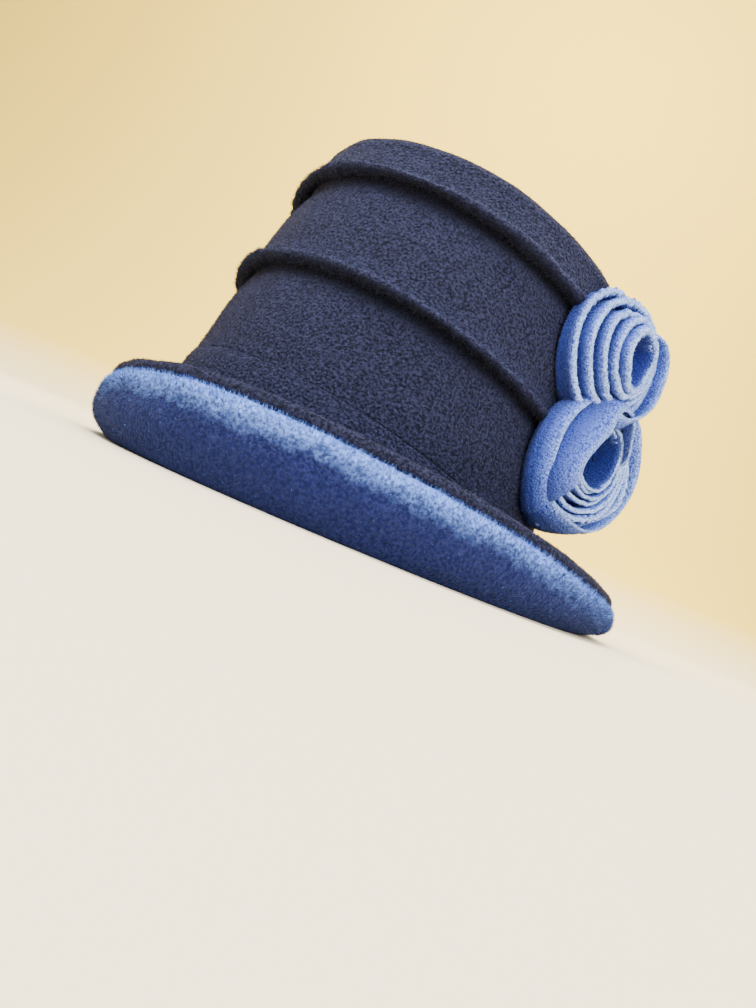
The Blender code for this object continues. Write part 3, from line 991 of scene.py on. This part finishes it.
def strip_outline(bottom, top, half, flare):
    """A strip's section as (aside, out) pairs: up its outer face, over its rolled edge and down."""
    share = np.linspace(0.0, 1.0, STRIP_SIDE)
    half = half[:, None]
    out = bottom[:, None] + (top[:, None] - half - bottom[:, None]) * share
    curl = flare[:, None] * share**2
    over = np.radians(np.linspace(0.0, 180.0, STRIP_EDGE))[None, 1:-1]
    aside = np.hstack((half + curl, flare[:, None] + half * np.cos(over), (curl - half)[:, ::-1]))
    height = np.hstack((out, top[:, None] - half + half * np.sin(over), out[:, ::-1]))
    return aside, height


def rose_strip(row, axes):
    """Sections along the loosely wound strip, each turn standing further out than the one round it."""
    back, side, up, outward = axes
    steps = round(row["turns"] * ROSE_STEPS_PER_TURN)
    share = np.linspace(0.0, 1.0, steps + 1)
    angle = math.radians(row["start"]) + 2.0 * math.pi * row["turns"] * share
    across, rise = STRIP_SCREW
    screw = (np.cos(angle) * across, np.sin(angle) * across, share * row["turns"] * rise)
    ring = np.stack(screw, axis=-1)
    waves = [
        ripple(ring, wavelength, row["seed"] + k) * height
        for k, (wavelength, height) in enumerate(STRIP_WAVES)
    ]
    wound = np.minimum(share * row["turns"] / (row["turns"] - 1.0), 1.0)
    radius = row["wide"] + (row["hole"] - row["wide"]) * wound ** row["tight"]
    radius += waves[0]
    spoke = side * np.cos(angle)[:, None] + up * np.sin(angle)[:, None]
    foot = back + stretched(row, axes, spoke * radius[:, None]) + up * (row["drift"] * wound)[:, None]
    seat = on_crown(foot, outward) + ROSE_SEAT
    top = row["rim"] + (row["stand"] - row["rim"]) * wound + row["lift"] * (1.0 - wound) * np.cos(angle)
    top += waves[1]
    top = seat + (top - seat) * np.minimum(1.0, ROSE_END + share * row["turns"] / ROSE_TAPER)
    bottom = np.maximum(top - ROSE_STRIP_WIDTH, seat - ROSE_SINK)
    flare = row["flare"] * (1.0 + waves[2])
    half = (row["thick"] + (row["outer"] - row["thick"]) * (1.0 - wound) ** 2) / 2.0
    aside, out = strip_outline(bottom, top, half, flare)
    pucker = PUCKER_DEPTH * (half / half.max()) * np.sin(2.0 * math.pi * angle * radius / PUCKER_PITCH)
    low, high = ((top - depth)[:, None] for depth in PUCKER_BAND)
    aside = aside + (pucker * waves[3])[:, None] * smooth(out, low, high)
    # Painted highlight along the strip's edge and painted shade down in its folds, with more painted shade
    # on the innermost turn
    painted_tone = edge_light_and_shade((top[:, None] - out) / ROSE_EDGE)
    painted_tone[:, -STRIP_SIDE:] += ROSE_INSIDE_SHADE * smooth(wound, ROSE_INSIDE_FROM, 1.0)[:, None]
    return foot[:, None] + spoke[:, None] * aside[..., None] + outward * out[..., None], painted_tone


def stretched(row, axes, offset):
    """These offsets from a rose's middle, drawn out along its length."""
    _, side, up, _ = axes
    tilt = math.radians(row["tilt"])
    length = up * math.cos(tilt) - side * math.sin(tilt)
    return offset + (row["tall"] - 1.0) * (offset @ length)[..., None] * length


def edge_light_and_shade(depth):
    """A strip's painted tone at this depth below its edge: a painted highlight along the edge and painted
    shade down in the folds.
    """
    fall = np.clip(depth, 0.0, 1.0) ** ROSE_TONE_POWER
    return ROSE_EDGE_HIGHLIGHT + (ROSE_GROOVE_SHADE - ROSE_EDGE_HIGHLIGHT) * fall


def loose_petal(row, axes, petal):
    """A wider turn of the strip's outer end, standing over part of the rose."""
    back, side, up, outward = axes
    angle = np.radians(np.linspace(petal["from"], petal["to"], petal["steps"]))
    share = np.linspace(0.0, 1.0, petal["steps"])
    q = np.linspace(0.0, 1.0, PETAL_SIDE)
    ends = np.sin(math.pi * share) ** PETAL_ENDS_POWER
    profile = spline(petal["profile"], PETAL_STEP)
    profile = profile[np.linspace(0, len(profile) - 1, len(q)).astype(int)]
    spoke = side * np.cos(angle)[:, None] + up * np.sin(angle)[:, None]
    foot = back + stretched(row, axes, spoke * profile[0, 0])
    seat = on_crown(foot, outward) + ROSE_SEAT
    radius = profile[None, :, 0] * np.ones((len(angle), 1))
    full = PETAL_END_HEIGHT + (1.0 - PETAL_END_HEIGHT) * ends[:, None]
    risen = profile[None, :, 1] * full * q**PETAL_RISE_POWER
    out = (seat[:, None] - ROSE_SINK) * (1.0 - q) + risen
    ring = np.stack((np.cos(angle), np.sin(angle), np.zeros_like(angle)), axis=-1) * PETAL_RING
    wavelength, height = PETAL_WAVE
    flatter = petal["flatter"] * np.cos(PETAL_LOBES * (angle - math.radians(petal["flat_at"])))
    radius = radius * (1.0 - flatter[:, None] * q**2)
    radius = radius + height * ripple(ring, wavelength, petal["steps"])[:, None] * q
    centre = back + stretched(row, axes, spoke[:, None] * radius[..., None]) + outward * out[..., None]
    centre += up * (row["drift"] * q**2)[None, :, None]
    across = np.gradient(centre, axis=0)
    along = np.gradient(centre, axis=1)
    normal = unit(np.cross(along, across))
    fullness = PETAL_EDGE + (1.0 - PETAL_EDGE) * np.sqrt(np.clip(np.sin(math.pi * q), 0.0, 1.0))
    half = petal["thick"] / 2.0 * fullness[None, :, None]
    # A weaker painted highlight along the petal's free edge and painted shade towards its foot
    painted_tone = edge_light_and_shade((1.0 - q) * PETAL_DEPTH) * PETAL_TONE_SHARE + PETAL_TONE_SHIFT
    painted_tone = np.broadcast_to(np.concatenate((painted_tone, painted_tone[::-1])), (len(angle), 2 * len(q)))
    return np.concatenate((centre + normal * half, (centre - normal * half)[:, ::-1]), axis=1), painted_tone


def rose_piece(row, looks):
    """A wound rose with its loose petals and its nap, in place of its solid."""
    axes = rose_axes(row)
    parts = [rose_strip(row, axes)]
    parts += [loose_petal(row, axes, petal) for petal in PETAL_ROWS if petal["rose"] == row["name"]]
    points, tones, faces = [], [], []
    start = 0
    for part, painted_tone in parts:
        part = from_crown(part)
        tones.append(np.ravel(painted_tone))
        rows, columns = part.shape[:2]
        quads = grid_faces(rows, columns, False, True) + start
        points.append(part.reshape(-1, 3))
        faces += quads.tolist()
        end = start + rows * columns
        faces += [list(range(start, start + columns)), list(range(end - columns, end))]
        start = end
    tones = np.concatenate(tones)
    cloth = add_mesh(row["name"] + "_cloth", np.vstack(points), faces, looks["rose"], tones)
    face_out(cloth)
    count, look = NAP_COUNTS[row["name"]], looks["rose_nap"]
    fibres = nap_over(cloth, row["name"] + "_nap", count, tones, look, row["seed"])
    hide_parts(row["name"])


def face_out(obj):
    """Turns the faces of a closed mesh outwards."""
    bm = bmesh.new()
    bm.from_mesh(obj.data)
    bmesh.ops.recalc_face_normals(bm, faces=bm.faces)
    bm.to_mesh(obj.data)
    bm.free()
    obj.data.shade_smooth()


def nap_over(obj, name, count, tones, material, seed):
    """Nap on the whole of a mesh, spread by area and toned with the painted highlights and painted shade
    of its points.
    """
    mesh = obj.data
    mesh.calc_loop_triangles()
    corners = np.empty(len(mesh.loop_triangles) * 3, np.int32)
    mesh.loop_triangles.foreach_get("vertices", corners)
    points = np.empty(len(mesh.vertices) * 3, np.float32)
    mesh.vertices.foreach_get("co", points)
    corners = corners.reshape(-1, 3)
    triangles = points.reshape(-1, 3).astype(float)[corners]
    cross = np.cross(triangles[:, 1] - triangles[:, 0], triangles[:, 2] - triangles[:, 0])
    total = np.cumsum(np.linalg.norm(cross, axis=1))
    rng = np.random.default_rng(seed)
    index = np.minimum(np.searchsorted(total, rng.uniform(0.0, total[-1], count)), len(total) - 1)
    a, b = rng.uniform(size=(2, count, 1))
    flip = a + b > 1.0
    a, b = np.where(flip, 1.0 - a, a), np.where(flip, 1.0 - b, b)
    first, second, third = (triangles[index, k] for k in range(3))
    place = first + (second - first) * a + (third - first) * b
    painted_light, normal, upright = tones[corners[index, 0]], unit(cross[index]), np.zeros(3)
    return nap(name, place, normal, ROSE_NAP, BLUE_FIBRE, upright, painted_light, material, seed + 50)


# Stage, lights and camera


def add_stage():
    """A pale floor that curves up into a backdrop."""
    bend = np.radians(np.linspace(0.0, 90.0, STAGE_BEND_POINTS))
    wall = STAGE_BEND_START + STAGE_BEND
    ahead = np.concatenate(((-STAGE_REACH,), STAGE_BEND_START + STAGE_BEND * np.sin(bend), (wall,)))
    height = np.concatenate(((0.0,), STAGE_BEND * (1.0 - np.cos(bend)), (STAGE_HEIGHT,)))
    section = np.stack((ahead, np.zeros_like(ahead), height), axis=1)
    across = np.array((-STAGE_HALF_WIDTH, STAGE_HALF_WIDTH))
    forward = np.array((-math.sin(VIEW_AZIMUTH), math.cos(VIEW_AZIMUTH), 0.0))
    aside = np.array((math.cos(VIEW_AZIMUTH), math.sin(VIEW_AZIMUTH), 0.0))
    rows = section[:, :1] * forward + section[:, 2:] * np.array((0.0, 0.0, 1.0))
    grid = rows[None] + across[:, None, None] * aside
    material = bpy.data.materials.new("stage_paper")
    material.use_nodes = True
    tree = material.node_tree
    shader = tree.nodes["Principled BSDF"]
    place = node(tree, "ShaderNodeTexCoord").outputs["Object"]
    rise = node(tree, "ShaderNodeSeparateXYZ", ((0, place),)).outputs["Z"]
    share = node(tree, "ShaderNodeMapRange", (("Value", rise), ("From Max", STAGE_TONE_RISE)))
    colour = mixed(tree, share.outputs["Result"], FLOOR_COLOUR, WALL_COLOUR)
    tree.links.new(colour, shader.inputs["Base Color"])
    shader.inputs["Roughness"].default_value = 0.9
    shader.inputs["Specular IOR Level"].default_value = 0.2
    mesh = bpy.data.meshes.new("stage_floor")
    mesh.from_pydata(grid.reshape(-1, 3).tolist(), [], grid_faces(2, len(section), False, False).tolist())
    mesh.shade_smooth()
    floor = bpy.data.objects.new("stage_floor", mesh)
    mesh.materials.append(material)
    bpy.context.scene.collection.objects.link(floor)


def add_lights():
    for row in LIGHT_ROWS:
        light = bpy.data.lights.new(row["name"], "AREA")
        light.size = row["size"]
        light.energy = row["power"]
        light.color = row["colour"]
        obj = bpy.data.objects.new(row["name"], light)
        obj.location = row["place"]
        away = Vector(row["place"]) - Vector(row["aim"])
        obj.rotation_euler = away.to_track_quat("Z", "Y").to_euler()
        bpy.context.scene.collection.objects.link(obj)
    world = bpy.data.worlds.new("soft_surround")
    world.use_nodes = True
    world.node_tree.nodes["Background"].inputs["Color"].default_value = (*LAMP_COLOUR, 1.0)
    world.node_tree.nodes["Background"].inputs["Strength"].default_value = SURROUND
    bpy.context.scene.world = world


def add_camera():
    """The photograph's bearing and roll, looking a little up so that the hat falls where it does."""
    camera = bpy.data.cameras.new("photo_camera")
    camera.lens = VIEW_LENS
    camera.sensor_width = 36.0
    camera.sensor_fit = "AUTO"
    camera.clip_start = 0.01
    level = Vector((math.sin(VIEW_AZIMUTH), -math.cos(VIEW_AZIMUTH), 0.0))
    back = level * math.cos(VIEW_ELEVATION) + Vector((0.0, 0.0, math.sin(VIEW_ELEVATION)))
    right = Vector((math.cos(VIEW_AZIMUTH), math.sin(VIEW_AZIMUTH), 0.0))
    up = back.cross(right)
    turned_right = right * math.cos(VIEW_ROLL) + up * math.sin(VIEW_ROLL)
    turned_up = up * math.cos(VIEW_ROLL) - right * math.sin(VIEW_ROLL)
    obj = bpy.data.objects.new("photo_camera", camera)
    matrix = Matrix((turned_right, turned_up, back)).transposed().to_4x4()
    matrix.translation = Vector(VIEW_PLACE)
    obj.matrix_world = matrix
    bpy.context.scene.collection.objects.link(obj)
    bpy.context.scene.camera = obj


def make_looks():
    looks = {}
    for row in FLEECE_ROWS:
        looks[row["name"]] = fleece(row)
        looks[row["name"] + "_nap"] = nap_material(row)
    return looks


def build(looks):
    middle, top = LOWER_TIER, LOWER_TIER + MIDDLE_TIER
    welt = 2.0 * WELT_ROLL
    crown_piece("crown_top_tier", top_tier(), (1.0, top + welt), looks)
    crown_piece("crown_middle_tier", middle_tier(), (top, middle + welt), looks)
    crown_piece("crown_lower_tier", lower_tier(), (middle, -1.0), looks)
    outer_piece(looks)
    facing_piece(looks)
    for row in ROSE_ROWS:
        rose_piece(row, looks)


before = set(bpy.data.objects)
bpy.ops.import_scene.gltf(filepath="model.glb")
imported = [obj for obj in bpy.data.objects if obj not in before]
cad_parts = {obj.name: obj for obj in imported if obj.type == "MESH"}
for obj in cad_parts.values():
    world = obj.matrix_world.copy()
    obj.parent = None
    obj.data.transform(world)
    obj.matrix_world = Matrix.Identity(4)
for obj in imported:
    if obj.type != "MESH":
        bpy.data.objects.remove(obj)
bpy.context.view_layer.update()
add_camera()
add_lights()
add_stage()
build(make_looks())
